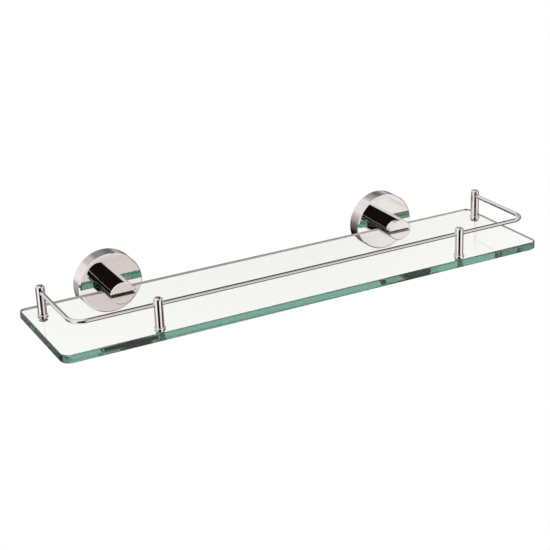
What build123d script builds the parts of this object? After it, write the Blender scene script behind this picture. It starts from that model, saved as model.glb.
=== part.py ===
"""Glass wall shelf with two round wall brackets and a gallery rail.

Units are mm. Origin: on the wall plane, midway between the two brackets, at the height of the
bracket arms' axes. X runs along the shelf to the right, Y into the wall (the room is at -Y),
Z is up. Every piece is exported in place, in this one frame.
"""

import os
from math import sqrt

from build123d import *

# ---------------------------------------------------------------- driving dimensions
# glass pane
GLASS_LENGTH = 500.0
GLASS_DEPTH = 120.0
GLASS_THICK = 8.0
GLASS_FRONT_CORNER_R = 9.0
GLASS_BACK_CORNER_R = 6.0
GLASS_ARRIS = 1.0            # ground bevel along the top and bottom edges
GLASS_TOP = 3.4              # top face above the arm axis
WALL_GAP = 30.1              # wall to the pane's back edge

# rosette
BRACKET_SPACING = 307.0
ROSETTE_DIA = 64.5
ROSETTE_DEPTH = 16.5         # front face out from the wall
ROSETTE_WALL = 2.0
ROSETTE_BEVEL = 1.0
ROSETTE_SCREW_DIA = 4.0
ROSETTE_SCREW_Y = 6.0        # out from the wall
ROSETTE_SCREW_KEY = 2.0      # hexagon sockets are stated across their flats
ROSETTE_SCREW_KEY_DEPTH = 1.4
ROSETTE_SCREW_RECESS = 0.4   # outer end below the rosette's rim

# wall plate inside the rosette
PLATE_BASE = 3.0
PLATE_RIM_DEPTH = 13.0
PLATE_RIM_WALL = 3.0
PLATE_HOLE_DIA = 5.0
PLATE_HOLE_SPACING = 30.0
GROOVE_DEPTH = 1.0
GROOVE_WIDTH = 2.4

# arm
ARM_DIA = 27.0
ARM_REACH = 47.3             # end face out from the wall
ARM_CHAMFER = 0.7
LINER_THICK = 0.6
CLAMP_SCREW_DIA = 5.0
CLAMP_SCREW_LENGTH = 5.6
CLAMP_SCREW_KEY = 2.5
CLAMP_SCREW_KEY_DEPTH = 2.4

# bolt that holds the arm to the rosette
ARM_BOLT_DIA = 6.0
ARM_BOLT_HEAD_DIA = 10.0
ARM_BOLT_HEAD_HEIGHT = 4.0
ARM_BOLT_KEY = 5.0
ARM_BOLT_KEY_DEPTH = 2.6
ARM_BOLT_GRIP = 10.0         # thread depth in the arm
ARM_WASHER_DIA = 15.0
ARM_WASHER_HEIGHT = 1.2

# posts
POST_DIA = 8.5
POST_HEIGHT = 31.2           # top of a post above the glass
POST_TOP_R = 2.2
POST_SPIGOT_DIA = 5.4
FRONT_POST_END_INSET = 91.9  # from the pane's end
FRONT_POST_INSET = 6.3       # from the pane's front edge
REAR_POST_END_INSET = 13.5
REAR_POST_INSET = 30.7       # from the pane's back edge
FOOT_DIA = 10.2
FOOT_HEIGHT = 2.8
SEAT_DIA = 9.2
SEAT_HEIGHT = 0.6
POST_SCREW_DIA = 3.0
POST_SCREW_HEAD_DIA = 5.6
POST_SCREW_KEY = 2.0
POST_SCREW_KEY_DEPTH = 1.1
POST_SCREW_GRIP = 8.0        # thread depth in the post
GLASS_HOLE_DIA = 6.0
GLASS_SINK_DIA = 8.4         # countersink at the pane's underside

# rail
RAIL_DIA = 4.0
RAIL_HEIGHT = 25.0           # rail centre above the glass
RAIL_BEND_R = 13.0
RAIL_SOCKET = 1.6            # rail end past the rear post's axis

# clearances
FIT = 0.05                   # radial, rail and screws in their holes
GLASS_FIT = 0.05             # glass to the liners and seats that it rests on
SLEEVE_FIT = 0.10            # radial, sleeve in the glass
WASHER_FIT = 0.2             # radial, washer round its bolt
COVER_FIT = 0.7              # radial, rosette cover over the wall plate
COVER_WALL_GAP = 0.4         # rosette rim to the wall
SHOULDER_GAP = 0.1           # rosette screw's shoulder to the wall plate
LINER_SET_BACK = 0.3         # liner inside the arm's outline
THREAD_RUN_OUT = 0.5         # tapped holes are this much deeper than their screws
EDGE_BREAK = 0.4             # chamfer on turned edges
OVERRUN = 1.0                # how far a cutter passes the face that it opens
PLANE_TOLERANCE = 1e-4

# ---------------------------------------------------------------- derived sizes
GLASS_BOTTOM = GLASS_TOP - GLASS_THICK
GLASS_BACK_Y = -WALL_GAP
GLASS_FRONT_Y = GLASS_BACK_Y - GLASS_DEPTH
SINK_DEPTH = (GLASS_SINK_DIA - GLASS_HOLE_DIA) / 2

ROSETTE_R = ROSETTE_DIA / 2
COVER_INNER_R = ROSETTE_R - ROSETTE_WALL
COVER_INNER_DEPTH = ROSETTE_DEPTH - ROSETTE_WALL
PLATE_R = COVER_INNER_R - COVER_FIT
GROOVE_R = PLATE_R - GROOVE_DEPTH
ROSETTE_SCREW_LOW = -ROSETTE_R + ROSETTE_SCREW_RECESS

ARM_R = ARM_DIA / 2
SLOT_TOP = GLASS_TOP + LINER_THICK
SLOT_BOTTOM = GLASS_BOTTOM - LINER_THICK
SLOT_DEPTH_Y = WALL_GAP - LINER_THICK
CLAMP_SCREW_Y = (SLOT_DEPTH_Y + ARM_REACH) / 2
WASHER_OUT = COVER_INNER_DEPTH - ARM_WASHER_HEIGHT
BOLT_HEAD_OUT = WASHER_OUT - ARM_BOLT_HEAD_HEIGHT

POST_R = POST_DIA / 2
FRONT_POST_X = GLASS_LENGTH / 2 - FRONT_POST_END_INSET
REAR_POST_X = GLASS_LENGTH / 2 - REAR_POST_END_INSET
POST_FRONT_Y = GLASS_FRONT_Y + FRONT_POST_INSET
POST_REAR_Y = GLASS_BACK_Y - REAR_POST_INSET
SEAT_TOP = GLASS_TOP + SEAT_HEIGHT
FOOT_TOP = SEAT_TOP + FOOT_HEIGHT
POST_TOP = GLASS_TOP + POST_HEIGHT
RAIL_R = RAIL_DIA / 2
RAIL_Z = GLASS_TOP + RAIL_HEIGHT

SIDES = (("left", -1), ("right", 1))
POSTS = (
    ("front_left", -FRONT_POST_X, POST_FRONT_Y),
    ("front_right", FRONT_POST_X, POST_FRONT_Y),
    ("rear_left", -REAR_POST_X, POST_REAR_Y),
    ("rear_right", REAR_POST_X, POST_REAR_Y),
)


# ---------------------------------------------------------------- helpers
def cyl_z(x, y, z0, z1, r):
    """Upright cylinder between two heights."""
    return Pos(x, y, z0) * Cylinder(r, z1 - z0, align=(Align.CENTER, Align.CENTER, Align.MIN))


def cone_z(x, y, z0, z1, r0, r1):
    """Upright cone frustum, radius r0 at z0 and r1 at z1."""
    return Pos(x, y, z0) * Cone(r0, r1, z1 - z0, align=(Align.CENTER, Align.CENTER, Align.MIN))


def cyl_y(x, z, out0, out1, r):
    """Cylinder square to the wall, from out0 to out1 out from the wall."""
    turned = Rot(90, 0, 0) * Cylinder(r, out1 - out0, align=(Align.CENTER, Align.CENTER, Align.MIN))
    return Pos(x, -out0, z) * turned


def hexagon_z(x, y, z0, z1, across):
    """Upright hexagonal prism."""
    return extrude(Pos(x, y, z0) * RegularPolygon(across / sqrt(3), 6), z1 - z0)


def hexagon_y(x, z, out0, out1, across):
    """Hexagonal prism square to the wall."""
    return extrude(Pos(x, -out0, z) * Rot(90, 0, 0) * RegularPolygon(across / sqrt(3), 6), out1 - out0)


def block(x0, x1, y0, y1, z0, z1):
    """Box from its six limits."""
    return Pos((x0 + x1) / 2, (y0 + y1) / 2, (z0 + z1) / 2) * Box(x1 - x0, y1 - y0, z1 - z0)


def edges_on(part, axis, value):
    """Edges lying wholly in the plane axis = value."""
    return part.edges().filter_by_position(axis, value - PLANE_TOLERANCE, value + PLANE_TOLERANCE)


# ---------------------------------------------------------------- glass pane
def glass_pane():
    half = GLASS_LENGTH / 2
    pane = block(-half, half, GLASS_FRONT_Y, GLASS_BACK_Y, GLASS_BOTTOM, GLASS_TOP)
    corners = pane.edges().filter_by(Axis.Z).sort_by(Axis.Y)
    pane = fillet(corners[:2], GLASS_FRONT_CORNER_R)
    pane = fillet(edges_on(pane, Axis.Y, GLASS_BACK_Y).filter_by(Axis.Z), GLASS_BACK_CORNER_R)
    pane = chamfer(edges_on(pane, Axis.Z, GLASS_TOP) + edges_on(pane, Axis.Z, GLASS_BOTTOM), GLASS_ARRIS)
    for _, x, y in POSTS:
        pane -= cyl_z(x, y, GLASS_BOTTOM - OVERRUN, GLASS_TOP + OVERRUN, GLASS_HOLE_DIA / 2)
        pane -= cone_z(x, y, GLASS_BOTTOM, GLASS_BOTTOM + SINK_DEPTH, GLASS_SINK_DIA / 2, GLASS_HOLE_DIA / 2)
    return pane


# ---------------------------------------------------------------- bracket pieces
def rosette_cover(x):
    cover = cyl_y(x, 0, COVER_WALL_GAP, ROSETTE_DEPTH, ROSETTE_R)
    cover = chamfer(edges_on(cover, Axis.Y, -ROSETTE_DEPTH), ROSETTE_BEVEL)
    cover -= cyl_y(x, 0, COVER_WALL_GAP - OVERRUN, COVER_INNER_DEPTH, COVER_INNER_R)
    cover -= cyl_y(x, 0, 0, ROSETTE_DEPTH + OVERRUN, ARM_BOLT_DIA / 2 + FIT)
    low, high = -ROSETTE_R - OVERRUN, -COVER_INNER_R + OVERRUN
    return cover - cyl_z(x, -ROSETTE_SCREW_Y, low, high, ROSETTE_SCREW_DIA / 2)


def wall_plate(x):
    plate = cyl_y(x, 0, 0, PLATE_RIM_DEPTH, PLATE_R)
    plate -= cyl_y(x, 0, PLATE_BASE, PLATE_RIM_DEPTH + OVERRUN, PLATE_R - PLATE_RIM_WALL)
    for dz in (-PLATE_HOLE_SPACING / 2, PLATE_HOLE_SPACING / 2):
        plate -= cyl_y(x, dz, -OVERRUN, PLATE_BASE + OVERRUN, PLATE_HOLE_DIA / 2)
    # the groove round the rim, which the rosette's screw bites in
    near, far = ROSETTE_SCREW_Y - GROOVE_WIDTH / 2, ROSETTE_SCREW_Y + GROOVE_WIDTH / 2
    groove = cyl_y(x, 0, near, far, PLATE_R + OVERRUN)
    groove -= cyl_y(x, 0, near - OVERRUN, far + OVERRUN, GROOVE_R)
    return plate - groove


def rosette_screw(x):
    """Set screw from below, with a dog point half its width."""
    r = ROSETTE_SCREW_DIA / 2 - FIT
    shoulder = -PLATE_R - SHOULDER_GAP
    screw = cyl_z(x, -ROSETTE_SCREW_Y, ROSETTE_SCREW_LOW, shoulder, r)
    screw += cyl_z(x, -ROSETTE_SCREW_Y, shoulder, -GROOVE_R, r / 2)
    key_top = ROSETTE_SCREW_LOW + ROSETTE_SCREW_KEY_DEPTH
    return screw - hexagon_z(x, -ROSETTE_SCREW_Y, ROSETTE_SCREW_LOW, key_top, ROSETTE_SCREW_KEY)


def arm(x):
    bar = cyl_y(x, 0, ROSETTE_DEPTH, ARM_REACH, ARM_R)
    bar = chamfer(edges_on(bar, Axis.Y, -ARM_REACH), ARM_CHAMFER)
    left, right = x - ARM_R - OVERRUN, x + ARM_R + OVERRUN
    bar -= block(left, right, -ARM_REACH - OVERRUN, -SLOT_DEPTH_Y, SLOT_BOTTOM, SLOT_TOP)
    tapped = ROSETTE_DEPTH + ARM_BOLT_GRIP + THREAD_RUN_OUT
    bar -= cyl_y(x, 0, ROSETTE_DEPTH - OVERRUN, tapped, ARM_BOLT_DIA / 2)
    return bar - cyl_z(x, -CLAMP_SCREW_Y, -ARM_R - OVERRUN, SLOT_BOTTOM + OVERRUN, CLAMP_SCREW_DIA / 2)


def arm_washer(x):
    washer = cyl_y(x, 0, WASHER_OUT, COVER_INNER_DEPTH, ARM_WASHER_DIA / 2)
    hole_r = ARM_BOLT_DIA / 2 + WASHER_FIT
    return washer - cyl_y(x, 0, WASHER_OUT - OVERRUN, COVER_INNER_DEPTH + OVERRUN, hole_r)


def arm_bolt(x):
    bolt = cyl_y(x, 0, BOLT_HEAD_OUT, WASHER_OUT, ARM_BOLT_HEAD_DIA / 2)
    bolt = chamfer(edges_on(bolt, Axis.Y, -BOLT_HEAD_OUT), EDGE_BREAK)
    bolt += cyl_y(x, 0, WASHER_OUT, ROSETTE_DEPTH + ARM_BOLT_GRIP, ARM_BOLT_DIA / 2 - FIT)
    return bolt - hexagon_y(x, 0, BOLT_HEAD_OUT, BOLT_HEAD_OUT + ARM_BOLT_KEY_DEPTH, ARM_BOLT_KEY)


def slot_liner(x):
    """U-shaped lining of the arm's slot, cut to the arm's round outline."""
    r = ARM_R - LINER_SET_BACK
    front = -ARM_REACH + LINER_SET_BACK
    liner = cyl_y(x, 0, SLOT_DEPTH_Y, -front, r)
    liner &= block(x - r, x + r, front, -SLOT_DEPTH_Y, SLOT_BOTTOM, SLOT_TOP)
    left, right = x - r - OVERRUN, x + r + OVERRUN
    low, high = GLASS_BOTTOM - GLASS_FIT, GLASS_TOP + GLASS_FIT
    return liner - block(left, right, front - OVERRUN, GLASS_BACK_Y + GLASS_FIT, low, high)


def clamp_screw(x):
    low = SLOT_BOTTOM - CLAMP_SCREW_LENGTH
    screw = cyl_z(x, -CLAMP_SCREW_Y, low, SLOT_BOTTOM, CLAMP_SCREW_DIA / 2 - FIT)
    screw = chamfer(edges_on(screw, Axis.Z, low), EDGE_BREAK)
    return screw - hexagon_z(x, -CLAMP_SCREW_Y, low, low + CLAMP_SCREW_KEY_DEPTH, CLAMP_SCREW_KEY)


# ---------------------------------------------------------------- gallery pieces
def gallery_post(x, y):
    """Turned post: the front ones are drilled through for the rail, the rear ones from the front."""
    post = cyl_z(x, y, FOOT_TOP, POST_TOP, POST_R)
    post = fillet(edges_on(post, Axis.Z, POST_TOP), POST_TOP_R)
    post += cyl_z(x, y, SEAT_TOP, FOOT_TOP, POST_SPIGOT_DIA / 2)
    tapped = SEAT_TOP + POST_SCREW_GRIP + THREAD_RUN_OUT
    post -= cyl_z(x, y, SEAT_TOP - OVERRUN, tapped, POST_SCREW_DIA / 2)
    if y == POST_FRONT_Y:
        hole = Pos(x, y, RAIL_Z) * Rot(0, 90, 0) * Cylinder(RAIL_R + FIT, POST_DIA + OVERRUN)
    else:
        hole = cyl_y(x, RAIL_Z, -y - RAIL_SOCKET - FIT, -y + POST_DIA, RAIL_R + FIT)
    return post - hole


def post_foot(x, y):
    ring = cyl_z(x, y, SEAT_TOP, FOOT_TOP, FOOT_DIA / 2)
    ring = chamfer(edges_on(ring, Axis.Z, FOOT_TOP), EDGE_BREAK)
    return ring - cyl_z(x, y, SEAT_TOP - OVERRUN, FOOT_TOP + OVERRUN, POST_SPIGOT_DIA / 2 + FIT)


def post_seat(x, y):
    seat = cyl_z(x, y, GLASS_TOP + GLASS_FIT, SEAT_TOP, SEAT_DIA / 2)
    return seat - cyl_z(x, y, GLASS_TOP - OVERRUN, SEAT_TOP + OVERRUN, POST_SCREW_DIA / 2 + FIT)


def countersunk(x, y, top, head_r, shank_r):
    """Cone from the pane's underside, head_r wide, running into a shank that ends at a height."""
    neck = GLASS_BOTTOM + head_r - shank_r
    return cone_z(x, y, GLASS_BOTTOM, neck, head_r, shank_r) + cyl_z(x, y, neck, top, shank_r)


def post_sleeve(x, y):
    """Countersunk nylon sleeve that keeps the post's screw off the glass."""
    outside_head, outside = GLASS_SINK_DIA / 2 - SLEEVE_FIT, GLASS_HOLE_DIA / 2 - SLEEVE_FIT
    sleeve = countersunk(x, y, GLASS_TOP, outside_head, outside)
    return sleeve - countersunk(x, y, GLASS_TOP + OVERRUN, POST_SCREW_HEAD_DIA / 2, POST_SCREW_DIA / 2)


def post_screw(x, y):
    head_r, shank_r = POST_SCREW_HEAD_DIA / 2 - FIT, POST_SCREW_DIA / 2 - FIT
    screw = countersunk(x, y, SEAT_TOP + POST_SCREW_GRIP, head_r, shank_r)
    return screw - hexagon_z(x, y, GLASS_BOTTOM, GLASS_BOTTOM + POST_SCREW_KEY_DEPTH, POST_SCREW_KEY)


def gallery_rail():
    """One rod: along the left side, round a bend, along the front, round a bend, along the right."""
    end_y = POST_REAR_Y + RAIL_SOCKET
    bend_y = POST_FRONT_Y + RAIL_BEND_R
    bend_x = REAR_POST_X - RAIL_BEND_R
    path = Line((-REAR_POST_X, end_y, RAIL_Z), (-REAR_POST_X, bend_y, RAIL_Z))
    path += JernArc((-REAR_POST_X, bend_y, RAIL_Z), (0, -1, 0), RAIL_BEND_R, 90)
    path += Line((-bend_x, POST_FRONT_Y, RAIL_Z), (bend_x, POST_FRONT_Y, RAIL_Z))
    path += JernArc((bend_x, POST_FRONT_Y, RAIL_Z), (1, 0, 0), RAIL_BEND_R, 90)
    path += Line((REAR_POST_X, bend_y, RAIL_Z), (REAR_POST_X, end_y, RAIL_Z))
    section = Plane(origin=(-REAR_POST_X, end_y, RAIL_Z), z_dir=(0, -1, 0)) * Circle(RAIL_R)
    return sweep(section, path=path)


# ---------------------------------------------------------------- the assembly
BRACKET_PIECES = (
    rosette_cover,
    wall_plate,
    rosette_screw,
    arm,
    arm_washer,
    arm_bolt,
    slot_liner,
    clamp_screw,
)
POST_PIECES = (
    ("post", gallery_post),
    ("post_foot", post_foot),
    ("post_seat", post_seat),
    ("post_sleeve", post_sleeve),
    ("post_screw", post_screw),
)

nodes = {"glass_pane": glass_pane(), "gallery_rail": gallery_rail()}
for side, sign in SIDES:
    for piece in BRACKET_PIECES:
        nodes[f"{side}_{piece.__name__}"] = piece(sign * BRACKET_SPACING / 2)
for place, post_x, post_y in POSTS:
    for piece_name, piece in POST_PIECES:
        nodes[f"{place}_{piece_name}"] = piece(post_x, post_y)

os.makedirs("parts", exist_ok=True)
for name, shape in nodes.items():
    export_step(shape.solid(), f"parts/{name}.step")
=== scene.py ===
"""Looks of the glass wall shelf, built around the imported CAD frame. Metres, +Z up, room at -Y."""

from math import cos, radians, sin

import bpy
from mathutils import Matrix, Vector


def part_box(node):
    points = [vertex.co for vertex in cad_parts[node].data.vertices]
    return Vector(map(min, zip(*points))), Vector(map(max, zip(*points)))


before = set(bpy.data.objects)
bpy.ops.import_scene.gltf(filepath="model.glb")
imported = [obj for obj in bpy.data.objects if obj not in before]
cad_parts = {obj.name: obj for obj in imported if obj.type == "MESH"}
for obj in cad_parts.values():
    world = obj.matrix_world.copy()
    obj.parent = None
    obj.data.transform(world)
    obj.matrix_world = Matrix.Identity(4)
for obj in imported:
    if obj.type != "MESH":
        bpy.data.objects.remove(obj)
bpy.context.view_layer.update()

SIDES = ("left", "right")
POSTS = ("front_left", "front_right", "rear_left", "rear_right")
PANE_LOW, PANE_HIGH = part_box("glass_pane")

# ---------------------------------------------------------------- camera
VIEW_AZIMUTH = -27.25      # degrees from square on; below zero is from the shelf's left
VIEW_ELEVATION = 22.13
VIEW_ROLL = -2.19
VIEW_DISTANCE = 1.3073
VIEW_TARGET = Vector((-0.0066, PANE_HIGH[1] - 0.0423, PANE_HIGH[2] - 0.0061))
LENS = 88.66               # millimetres, as is the sensor
SENSOR = 36.0
CLIP_NEAR = 0.05
CLIP_FAR = 50.0


def direction(azimuth, elevation):
    """Unit vector from the object towards a viewer at this azimuth and elevation, in degrees."""
    a, e = radians(azimuth), radians(elevation)
    return Vector((sin(a) * cos(e), -cos(a) * cos(e), sin(e)))


def make_camera():
    """The photo's view of the shelf."""
    data = bpy.data.cameras.new("camera")
    data.lens = LENS
    data.sensor_width = SENSOR
    data.clip_start = CLIP_NEAR
    data.clip_end = CLIP_FAR
    camera = bpy.data.objects.new("camera", data)
    bpy.context.scene.collection.objects.link(camera)
    back = direction(VIEW_AZIMUTH, VIEW_ELEVATION)
    place = Matrix.Translation(VIEW_TARGET + back * VIEW_DISTANCE)
    turn = back.to_track_quat("Z", "Y").to_matrix().to_4x4()
    camera.matrix_world = place @ turn @ Matrix.Rotation(radians(VIEW_ROLL), 4, "Z")
    bpy.context.scene.camera = camera


# ---------------------------------------------------------------- node helpers
def new_material(name):
    """A material with its node tree and its shader node."""
    material = bpy.data.materials.new(name)
    material.use_nodes = True
    tree = material.node_tree
    return material, tree, tree.nodes["Principled BSDF"]


def add(tree, kind, inputs=None, **settings):
    """A node with its attributes and, by socket name, its input values."""
    node = tree.nodes.new(kind)
    for key, value in settings.items():
        setattr(node, key, value)
    for key, value in (inputs or {}).items():
        node.inputs[key].default_value = value
    return node


def worked_out(tree, operation, first, second):
    """The result of a sum or comparison of two sockets or numbers."""
    node = add(tree, "ShaderNodeMath", operation=operation)
    for socket, value in zip(node.inputs, (first, second)):
        if isinstance(value, (int, float)):
            socket.default_value = value
        else:
            tree.links.new(value, socket)
    return node.outputs["Value"]


def product(tree, first, second):
    """Two values multiplied. For values from zero to one, it says how far both hold."""
    return worked_out(tree, "MULTIPLY", first, second)


def opposite(tree, share):
    """One minus a value from zero to one."""
    return worked_out(tree, "SUBTRACT", 1.0, share)


def more_than(tree, count, limit):
    """One where a whole count is above the limit, else zero."""
    return worked_out(tree, "GREATER_THAN", count, limit + 0.5)


def at_most(tree, count, limit):
    """One where a whole count is at the limit or below it, else zero."""
    return worked_out(tree, "LESS_THAN", count, limit + 0.5)


def object_coordinates(tree):
    return add(tree, "ShaderNodeTexCoord").outputs["Object"]


def noise(tree, vector, scale, detail):
    node = add(tree, "ShaderNodeTexNoise", {"Scale": scale, "Detail": detail})
    tree.links.new(vector, node.inputs["Vector"])
    return node.outputs["Fac"]


def ranged(tree, value, taken, given):
    """A value carried over from one range to another, and held at the ends of it."""
    ends = {"From Min": taken[0], "From Max": taken[1], "To Min": given[0], "To Max": given[1]}
    node = add(tree, "ShaderNodeMapRange", ends)
    tree.links.new(value, node.inputs["Value"])
    return node.outputs["Result"]


def mixed(tree, factor, first, second):
    """Two colours mixed; either may be a socket."""
    node = add(tree, "ShaderNodeMix", data_type="RGBA")
    tree.links.new(factor, node.inputs["Factor"])
    for name, colour in (("A", first), ("B", second)):
        if isinstance(colour, tuple):
            node.inputs[name].default_value = (*colour, 1)
        else:
            tree.links.new(colour, node.inputs[name])
    return node.outputs["Result"]


def bumped(tree, height, shader, strength, distance):
    node = add(tree, "ShaderNodeBump", {"Strength": strength, "Distance": distance})
    tree.links.new(height, node.inputs["Height"])
    tree.links.new(node.outputs["Normal"], shader.inputs["Normal"])


# ---------------------------------------------------------------- materials
CHROME = (0.86, 0.835, 0.83)
CHROME_PALER = (0.90, 0.87, 0.865)
CHROME_HAZE = 0.05                     # the plate's greatest roughness
GLASS_FACE = (1.0, 0.985, 0.955)       # tint of light that crosses one of the glass's faces
GLASS_EDGE = (0.265, 0.41, 0.345)      # tint of light that crosses one of its edges
# painted shade: a dark tint that darkens light reflected inside the glass where it leaves a face
GLASS_TURNED_SHADE = (0.135, 0.12, 0.115)    # tint at a face of light that was reflected inside the glass
GLASS_BODY = (0.0, 0.60, 0.40)
GLASS_DENSITY = 5.0
GLASS_INDEX = 1.52
GLASS_SMEAR = 0.01                     # greatest roughness of its polished faces and edges
GROUND_ROUGHNESS = 0.3                 # added on its ground arrises
PLATE_STEEL = (0.60, 0.60, 0.58)
SCREW_STEEL = (0.62, 0.61, 0.60)
DARK_PLASTIC = (0.16, 0.14, 0.125)
NYLON = (0.75, 0.75, 0.72)
PLASTIC_INDEX = 1.5


def chrome():
    """Bright chrome plate: near-mirror, with the faint haze and colour drift of polished plate."""
    material, tree, shader = new_material("chrome_plate")
    vector = object_coordinates(tree)
    haze = noise(tree, vector, scale=60.0, detail=4.0)
    drift = noise(tree, vector, scale=14.0, detail=2.0)
    roughness = ranged(tree, haze, (0.5, 0.75), (0.0, CHROME_HAZE))
    tree.links.new(roughness, shader.inputs["Roughness"])
    tree.links.new(mixed(tree, drift, CHROME, CHROME_PALER), shader.inputs["Base Color"])
    shader.inputs["Metallic"].default_value = 1.0
    return material


def float_glass():
    """Clear soda-lime glass: almost neutral through its faces, teal at its polished edges."""
    material, tree, shader = new_material("float_glass")
    vector = object_coordinates(tree)
    upright = add(tree, "ShaderNodeSeparateXYZ")
    normal = add(tree, "ShaderNodeTexCoord").outputs["Normal"]
    tree.links.new(normal, upright.inputs["Vector"])
    flatness = worked_out(tree, "ABSOLUTE", upright.outputs["Z"], 0.0)
    edge = ranged(tree, flatness, (0.8, 0.95), (1.0, 0.0))
    # painted shade: light that an edge has turned back is darkened by a dark tint as it comes out of
    # the faces
    path = add(tree, "ShaderNodeLightPath")
    inside = add(tree, "ShaderNodeNewGeometry").outputs["Backfacing"]
    turned = product(tree, opposite(tree, path.outputs["Is Transmission Ray"]), inside)
    face = mixed(tree, turned, GLASS_FACE, GLASS_TURNED_SHADE)
    tree.links.new(mixed(tree, edge, face, GLASS_EDGE), shader.inputs["Base Color"])
    shader.inputs["IOR"].default_value = GLASS_INDEX
    shader.inputs["Transmission Weight"].default_value = 1.0
    smear = noise(tree, vector, scale=25.0, detail=3.0)
    polish = ranged(tree, smear, (0.4, 0.7), (0.0, GLASS_SMEAR))
    # the arrises slope between upright and flat
    not_upright = ranged(tree, flatness, (0.3, 0.5), (0.0, 1.0))
    not_flat = ranged(tree, flatness, (0.85, 0.95), (1.0, 0.0))
    ground = product(tree, product(tree, not_upright, not_flat), GROUND_ROUGHNESS)
    tree.links.new(worked_out(tree, "ADD", polish, ground), shader.inputs["Roughness"])
    body = {"Color": (*GLASS_BODY, 1), "Density": GLASS_DENSITY}
    volume = add(tree, "ShaderNodeVolumeAbsorption", body)
    tree.links.new(volume.outputs["Volume"], tree.nodes["Material Output"].inputs["Volume"])
    return material


def steel(name, colour, roughness):
    """Turned or plated steel with fine tool marks and faint staining."""
    material, tree, shader = new_material(name)
    vector = object_coordinates(tree)
    grain = noise(tree, vector, scale=900.0, detail=2.0)
    stain = noise(tree, vector, scale=90.0, detail=3.0)
    darker = tuple(c * 0.8 for c in colour)
    tree.links.new(mixed(tree, stain, colour, darker), shader.inputs["Base Color"])
    marks = ranged(tree, grain, (0.3, 0.7), (roughness - 0.06, roughness + 0.1))
    tree.links.new(marks, shader.inputs["Roughness"])
    bumped(tree, grain, shader, strength=0.15, distance=0.0001)
    shader.inputs["Metallic"].default_value = 1.0
    return material


def plastic(name, colour, roughness):
    """Moulded nylon or soft dark plastic, a little cloudy."""
    material, tree, shader = new_material(name)
    vector = object_coordinates(tree)
    cloud = noise(tree, vector, scale=250.0, detail=3.0)
    paler = tuple(min(1.0, c * 1.08) for c in colour)
    tree.links.new(mixed(tree, cloud, colour, paler), shader.inputs["Base Color"])
    moulding = ranged(tree, cloud, (0.3, 0.7), (roughness - 0.05, roughness + 0.08))
    tree.links.new(moulding, shader.inputs["Roughness"])
    shader.inputs["IOR"].default_value = PLASTIC_INDEX
    return material


def dress(nodes, material):
    """Give each named node this one material."""
    for node in nodes:
        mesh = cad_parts[node].data
        mesh.materials.clear()
        mesh.materials.append(material)


def each(places, *piece_names):
    """The names of these pieces at each of the places."""
    return [f"{place}_{piece}" for place in places for piece in piece_names]


def dress_all():
    """Materials for all 38 solids."""
    bright = each(SIDES, "rosette_cover", "arm") + each(POSTS, "post", "post_foot")
    side_screws = each(SIDES, "rosette_screw", "arm_washer", "arm_bolt", "clamp_screw")
    soft = each(SIDES, "slot_liner") + each(POSTS, "post_seat")
    dress(["gallery_rail", *bright], chrome())
    dress(["glass_pane"], float_glass())
    dress(each(SIDES, "wall_plate"), steel("plate_steel", PLATE_STEEL, roughness=0.35))
    dress(side_screws + each(POSTS, "post_screw"), steel("screw_steel", SCREW_STEEL, roughness=0.25))
    dress(soft, plastic("liner_plastic", DARK_PLASTIC, roughness=0.45))
    dress(each(POSTS, "post_sleeve"), plastic("sleeve_nylon", NYLON, roughness=0.4))


# ---------------------------------------------------------------- studio
FLOOR_DROP = 1.4           # how far the floor is below the glass
FLOOR_RADIUS = 1.5
FLOOR = (0.88, 0.88, 0.87)
FLOOR_PALER = (0.91, 0.91, 0.90)
FADE_START, FADE_END = 0.6, 0.97   # where the floor fades out, as shares of its radius
SEEN_THROUGH = 1.19        # the white backdrop as the glass shows it
THROUGH_GLASS_GAIN = 0.04  # how much brighter the studio shows through the glass
FILL = 0.6                 # the world's light on everything that isn't a mirror
KEY_AZIMUTH = -35          # degrees, as is the elevation
KEY_ELEVATION = 60
KEY_DISTANCE = 2.2
KEY_SIZE = 1.6
KEY_WATTS = 22.0
MOST_TURNS = 48            # for light that runs the length of the glass
WHITE = (1, 1, 1, 1)

# What polished metal sees around it: soft round patches, each an azimuth and elevation, an inner and
# an outer half angle in degrees, and a colour. Later patches lie over earlier ones.
TENT = (0.88, 0.845, 0.84)
PANEL = (1.10, 1.06, 1.05)
DIM = (0.22, 0.21, 0.21)
BLACK = (0.008, 0.006, 0.006)
PATCHES = (
    (105, -22, 35, 60, DIM),                   # unlit room to the right
    (235, -22, 25, 45, (0.36, 0.34, 0.35)),    # unlit room behind, left
    (284, -20, 16, 27, PANEL),                 # white panels left and right of the camera
    (34, -22, 8, 20, PANEL),
    (19, -22, 5, 11, (1.00, 0.91, 0.92)),
    (150, -22, 12, 30, (0.18, 0.17, 0.17)),    # behind, right and below
    (202, 0, 8, 14, (0.93, 0.90, 0.90)),       # behind, left
    (193, 24, 4, 10, (0.62, 0.58, 0.58)),      # behind, left and above
    (160, 20, 9, 19, (0.17, 0.16, 0.16)),      # behind, right and above
    (174, 27, 6, 14, (0.28, 0.27, 0.27)),
    (140, 44, 12, 17, BLACK),                  # open top of the tent
    (112, 62, 14, 19, BLACK),
    (78, 64, 11, 15, BLACK),
    (60, -60, 37, 40, BLACK),                  # dark far below, and below and behind
    (142, -46, 12, 20, BLACK),
    (222, -24, 8, 20, (0.08, 0.07, 0.075)),
    (205, -38, 10, 20, BLACK),
    (176, -33, 9, 18, (0.08, 0.07, 0.075)),
    (-20, 14, 24, 28, BLACK),                  # black flags round the camera
    (-1, 32, 15.5, 18, BLACK),
    (-27, -10, 24, 30, BLACK),
    (-27, -30, 20, 28, BLACK),
)
# Flags that show only straight off a mirror, only in a mirror's mirror, and only in a mirror behind an
# edge of the glass.
SINGLE_PATCH = (28, 28, 9, 15, (0.20, 0.19, 0.19))
REPEATED_PATCH = (10, 26, 19, 21, BLACK)
BEHIND_EDGE_PATCH = (12, -22, 13, 17, BLACK)

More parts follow.
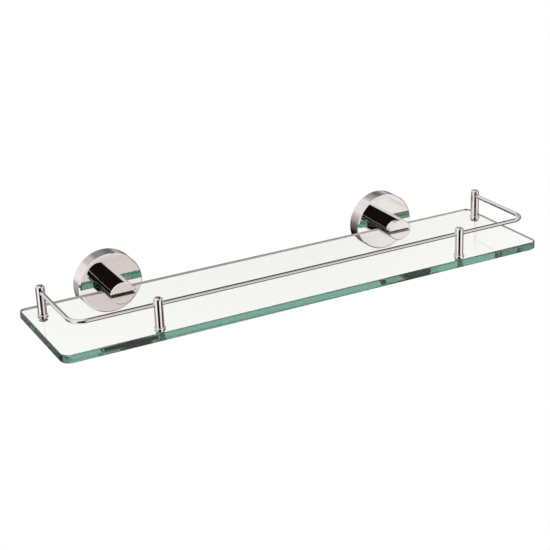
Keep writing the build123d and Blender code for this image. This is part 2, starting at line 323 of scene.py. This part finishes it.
# Where the studio shows. The left and right limits are parts of a ray's unit vector, and a share is how
# much of the studio shows beyond its limit.
ROOM_RISE = 0.6            # slope of the studio's upper limit, which rises towards the room
LEFT_LIMIT = -0.1
LEFT_SHARE_BEHIND = 0.5
RIGHT_LIMIT = 0.68
RIGHT_SHARE = 0.6


def patched(tree, ray, colour, patch, shown):
    """A colour with one soft round patch over it, as far as the patch is shown."""
    azimuth, elevation, inner, outer, patch_colour = patch
    dot = add(tree, "ShaderNodeVectorMath", operation="DOT_PRODUCT")
    tree.links.new(ray, dot.inputs[0])
    dot.inputs[1].default_value = direction(azimuth, elevation)
    rim = (cos(radians(outer)), cos(radians(inner)))
    inside = ranged(tree, dot.outputs["Value"], rim, (0.0, 1.0))
    return mixed(tree, product(tree, inside, shown), colour, patch_colour)


def mirror_surroundings(tree, ray, path):
    """Colour of the room in the ray's direction, as mirrors show it."""
    colour = TENT
    for patch in PATCHES:
        colour = patched(tree, ray, colour, patch, 1.0)
    turns = path.outputs["Glossy Depth"]
    crossings = path.outputs["Transmission Depth"]
    colour = patched(tree, ray, colour, SINGLE_PATCH, at_most(tree, turns, 1))
    repeated = product(tree, more_than(tree, turns, 1), at_most(tree, crossings, 0))
    colour = patched(tree, ray, colour, REPEATED_PATCH, repeated)
    off_metal = opposite(tree, path.outputs["Is Transmission Ray"])
    through_edge = product(tree, more_than(tree, turns, 2), more_than(tree, crossings, 1))
    behind_edge = product(tree, through_edge, off_metal)
    return patched(tree, ray, colour, BEHIND_EDGE_PATCH, behind_edge)


def studio_side(tree, ray):
    """How much of the studio shows in a ray's direction: all of it below its upper limit and at the
    front left, less at the other sides and none elsewhere."""
    axes = add(tree, "ShaderNodeSeparateXYZ")
    tree.links.new(ray, axes.inputs["Vector"])
    across, inward, up = axes.outputs["X"], axes.outputs["Y"], axes.outputs["Z"]
    height = worked_out(tree, "ADD", product(tree, inward, ROOM_RISE), up)
    below = worked_out(tree, "LESS_THAN", height, 0.0)
    in_front = worked_out(tree, "LESS_THAN", inward, 0.0)
    front_gain = product(tree, in_front, 1.0 - LEFT_SHARE_BEHIND)
    left_share = worked_out(tree, "ADD", front_gain, LEFT_SHARE_BEHIND)
    left = product(tree, worked_out(tree, "LESS_THAN", across, LEFT_LIMIT), left_share)
    right = product(tree, worked_out(tree, "GREATER_THAN", across, RIGHT_LIMIT), RIGHT_SHARE)
    return worked_out(tree, "MAXIMUM", below, worked_out(tree, "MAXIMUM", left, right))


def background(tree, strength):
    """A white background of this strength."""
    return add(tree, "ShaderNodeBackground", {"Color": WHITE, "Strength": strength})


def make_world():
    """White behind the object for the camera, a studio for mirrors, an even fill for the rest."""
    world = bpy.data.worlds.new("studio")
    bpy.context.scene.world = world
    world.use_nodes = True
    tree = world.node_tree
    tree.nodes.clear()
    path = add(tree, "ShaderNodeLightPath")
    ray = add(tree, "ShaderNodeTexCoord").outputs["Generated"]
    transmitted = path.outputs["Is Transmission Ray"]
    colour = mirror_surroundings(tree, ray, path)
    mirrored = more_than(tree, path.outputs["Glossy Depth"], 0)
    undiffused = at_most(tree, path.outputs["Diffuse Depth"], 0)
    mirrored_room = product(tree, product(tree, mirrored, undiffused), studio_side(tree, ray))
    through = worked_out(tree, "SUBTRACT", transmitted, mirrored_room)
    through = worked_out(tree, "MAXIMUM", through, 0.0)

    mirror = add(tree, "ShaderNodeBackground")
    tree.links.new(colour, mirror.inputs["Color"])
    gain = product(tree, transmitted, THROUGH_GLASS_GAIN)
    tree.links.new(worked_out(tree, "ADD", gain, 1.0), mirror.inputs["Strength"])
    layers = (
        (path.outputs["Is Glossy Ray"], mirror),
        (through, background(tree, SEEN_THROUGH)),
        (path.outputs["Is Camera Ray"], background(tree, 1.0)),
    )
    shader = background(tree, FILL).outputs[0]
    for amount, layer in layers:
        mix = add(tree, "ShaderNodeMixShader")
        tree.links.new(amount, mix.inputs[0])
        tree.links.new(shader, mix.inputs[1])
        tree.links.new(layer.outputs[0], mix.inputs[2])
        shader = mix.outputs[0]
    output = add(tree, "ShaderNodeOutputWorld")
    tree.links.new(shader, output.inputs["Surface"])


def make_floor():
    """Pale floor well below the shelf, fading into the white at its rim."""
    bpy.ops.mesh.primitive_circle_add(vertices=96, radius=FLOOR_RADIUS, fill_type="NGON")
    floor = bpy.context.object
    floor.name = "floor"
    floor.location = (0.0, 0.0, PANE_LOW[2] - FLOOR_DROP)
    floor.visible_glossy = False
    material, tree, shader = new_material("pale_floor")
    vector = object_coordinates(tree)
    mottle = noise(tree, vector, scale=6.0, detail=4.0)
    tree.links.new(mixed(tree, mottle, FLOOR, FLOOR_PALER), shader.inputs["Base Color"])
    shader.inputs["Roughness"].default_value = 0.8
    radius = add(tree, "ShaderNodeVectorMath", operation="LENGTH")
    tree.links.new(vector, radius.inputs[0])
    fade = (FADE_START * FLOOR_RADIUS, FADE_END * FLOOR_RADIUS)
    solid = ranged(tree, radius.outputs["Value"], fade, (1.0, 0.0))
    tree.links.new(solid, shader.inputs["Alpha"])
    floor.data.materials.append(material)


def make_lamps():
    """One broad key from above and in front, kept out of the mirrors."""
    data = bpy.data.lights.new("key", "AREA")
    data.shape = "DISK"
    data.size = KEY_SIZE
    data.energy = KEY_WATTS
    key = bpy.data.objects.new("key", data)
    bpy.context.scene.collection.objects.link(key)
    towards = direction(KEY_AZIMUTH, KEY_ELEVATION)
    key.location = towards * KEY_DISTANCE
    key.rotation_euler = towards.to_track_quat("Z", "Y").to_euler()
    key.visible_glossy = False


def set_light_paths():
    """Enough turns for light that runs the length of the glass."""
    cycles = bpy.context.scene.cycles
    cycles.max_bounces = MOST_TURNS
    cycles.glossy_bounces = MOST_TURNS
    cycles.transmission_bounces = MOST_TURNS


bpy.context.scene.view_settings.view_transform = "Standard"
make_camera()
dress_all()
make_world()
make_floor()
make_lamps()
set_light_paths()
